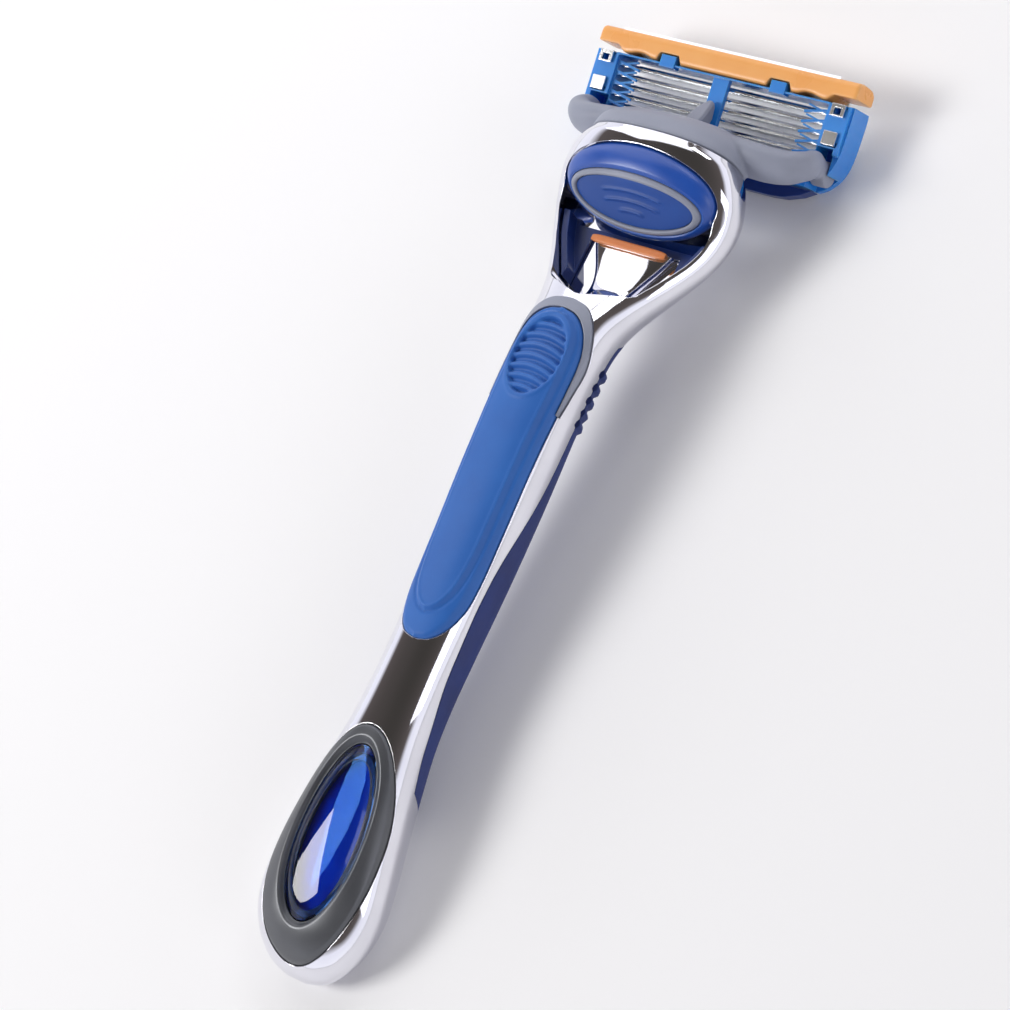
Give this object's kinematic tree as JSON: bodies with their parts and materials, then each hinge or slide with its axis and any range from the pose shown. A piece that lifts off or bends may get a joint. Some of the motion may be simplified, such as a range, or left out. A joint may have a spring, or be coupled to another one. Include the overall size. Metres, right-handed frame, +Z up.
{
  "type": "cartridge razor",
  "caption": "Wet-shaving razor with a chrome and rubber handle, thumb ejector button, pull-off connector and a sprung pivoting blade cartridge.",
  "frame": {"origin": "centre of the footprint of the razor lying blades down, on the table", "axes": "+X across the shaving width to the razor's right, +Y from the tail to the cartridge, +Z up through the button side"},
  "size_m": [0.042, 0.1405, 0.0202],
  "materials": {
    "chrome": "mirror-bright plating",
    "steel": "ground and polished",
    "spring_steel": "drawn wire",
    "aluminium": "bright rolled strip",
    "blue_rubber": "soft matte",
    "navy_rubber": "soft matte",
    "navy_plastic": "satin",
    "blue_plastic": "gloss",
    "button_blue": "satin",
    "button_navy": "soft matte",
    "grey_plastic": "fine matte",
    "bezel_grey": "satin",
    "orange": "satin",
    "window_blue": "clear tinted",
    "strip_white": "waxy"
  },
  "bodies": {
    "handle": {"handle_frame": "chrome", "upper_grip": "blue_rubber", "grip_collar": "grey_plastic", "underside_grip": "navy_rubber", "tail_bezel": "bezel_grey", "tail_plate": "navy_plastic", "tail_ring": "orange", "tail_window": "window_blue", "accent_strip": "orange", "head_core": "navy_plastic", "button_spring": "spring_steel"},
    "button": {"button_cap": "button_blue", "button_ring": "grey_plastic", "button_pad": "button_navy", "ejector_slider": "grey_plastic"},
    "head": {"connector": "grey_plastic", "plunger_spring": "spring_steel"},
    "plunger": {"plunger": "grey_plastic"},
    "cartridge": {"cartridge_housing": "blue_plastic", "clip_left": "aluminium", "clip_right": "aluminium", "blade_1": "steel", "blade_2": "steel", "blade_3": "steel", "blade_4": "steel", "blade_5": "steel", "blade_support_1": "steel", "blade_support_2": "steel", "blade_support_3": "steel", "blade_support_4": "steel", "blade_support_5": "steel", "trimmer_cap": "orange", "trimmer_blade": "steel", "lubricating_strip": "strip_white", "guard_bar": "navy_plastic", "guard_fins": "navy_rubber"}
  },
  "joints": [
    {"name": "button_slide", "type": "slide", "parent": "handle", "child": "button", "axis": [0, 0.766, -0.6428], "range_m": [0, 0.0015], "stiffness_N_per_m": 80, "springref_m": -0.003, "deforming": ["button_spring"]},
    {"name": "connector_release", "type": "slide", "parent": "handle", "child": "head", "axis": [0, 1, 0], "range_m": [0, 0.012]},
    {"name": "cartridge_pivot", "type": "hinge", "parent": "head", "child": "cartridge", "pos_m": [0, 0.05716, 0.00458], "axis": [1, 0, 0], "range_deg": [0, 32], "stiffness_Nm_per_rad": 0.002, "springref_deg": -44.98},
    {"name": "plunger_slide", "type": "slide", "parent": "head", "child": "plunger", "axis": [0, -0.9063, 0.4226], "range_m": [0, 0.0046], "deforming": ["plunger_spring"]}
  ],
  "couplings": [
    {"joint": "plunger_slide", "follows": "cartridge_pivot", "m_per_rad": 0.00792}
  ]
}
